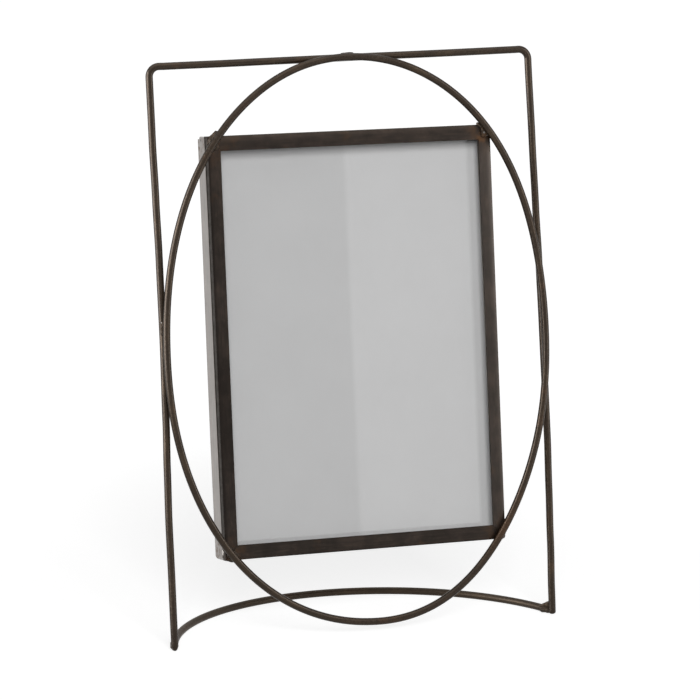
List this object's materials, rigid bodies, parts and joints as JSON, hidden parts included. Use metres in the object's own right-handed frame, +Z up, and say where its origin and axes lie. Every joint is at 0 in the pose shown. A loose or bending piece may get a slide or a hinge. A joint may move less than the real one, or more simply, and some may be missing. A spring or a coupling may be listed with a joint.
{
  "type": "picture frame",
  "caption": "Leaning wire picture frame: an outer wire stand with a curved foot, an oval wire ring, and a shallow dark metal picture box, open at the top, for glass, print and back panel.",
  "frame": {"origin": "middle of the bounding box's base, on the surface that the frame stands on", "axes": "+Z up, +X to the right seen from the front, +Y to the back: the picture faces -Y and leans back 7 degrees"},
  "size_m": [0.1862, 0.0742, 0.258],
  "materials": {
    "iron_wire": "dark brown-black patina, satin, with faint lighter streaks along the wire",
    "iron_sheet": "dark brown-black patina, satin, with rusty patches near the joints",
    "steel_sheet": "bare thin sheet, satin grey, faintly warm",
    "weld": "rough, dark brown with rusty tones",
    "clear_glass": "clear, polished",
    "grey_card": "plain grey, matt",
    "black_board": "thin black hardboard, matt"
  },
  "bodies": {
    "frame": {"outer_wire": "iron_wire", "oval_wire": "iron_wire", "foot_wire": "iron_wire", "face_top_rail": "iron_sheet", "face_bottom_rail": "iron_sheet", "face_left_stile": "iron_sheet", "face_right_stile": "iron_sheet", "rear_channel": "steel_sheet", "corner_weld_top_left": "weld", "corner_weld_top_right": "weld", "corner_weld_bottom_left": "weld", "corner_weld_bottom_right": "weld", "oval_weld_top": "weld", "oval_weld_left": "weld", "oval_weld_right": "weld", "foot_weld_left": "weld", "foot_weld_right": "weld"},
    "glass": {"glass_pane": "clear_glass"},
    "card": {"photo_card": "grey_card"},
    "back": {"back_panel": "black_board"}
  },
  "joints": [
    {"name": "glass_lift", "type": "slide", "parent": "frame", "child": "glass", "axis": [0, 0.1219, 0.9925], "range_m": [0, 0.188]},
    {"name": "card_lift", "type": "slide", "parent": "frame", "child": "card", "axis": [0, 0.1219, 0.9925], "range_m": [0, 0.188]},
    {"name": "back_lift", "type": "slide", "parent": "frame", "child": "back", "axis": [0, 0.1219, 0.9925], "range_m": [0, 0.188]}
  ]
}
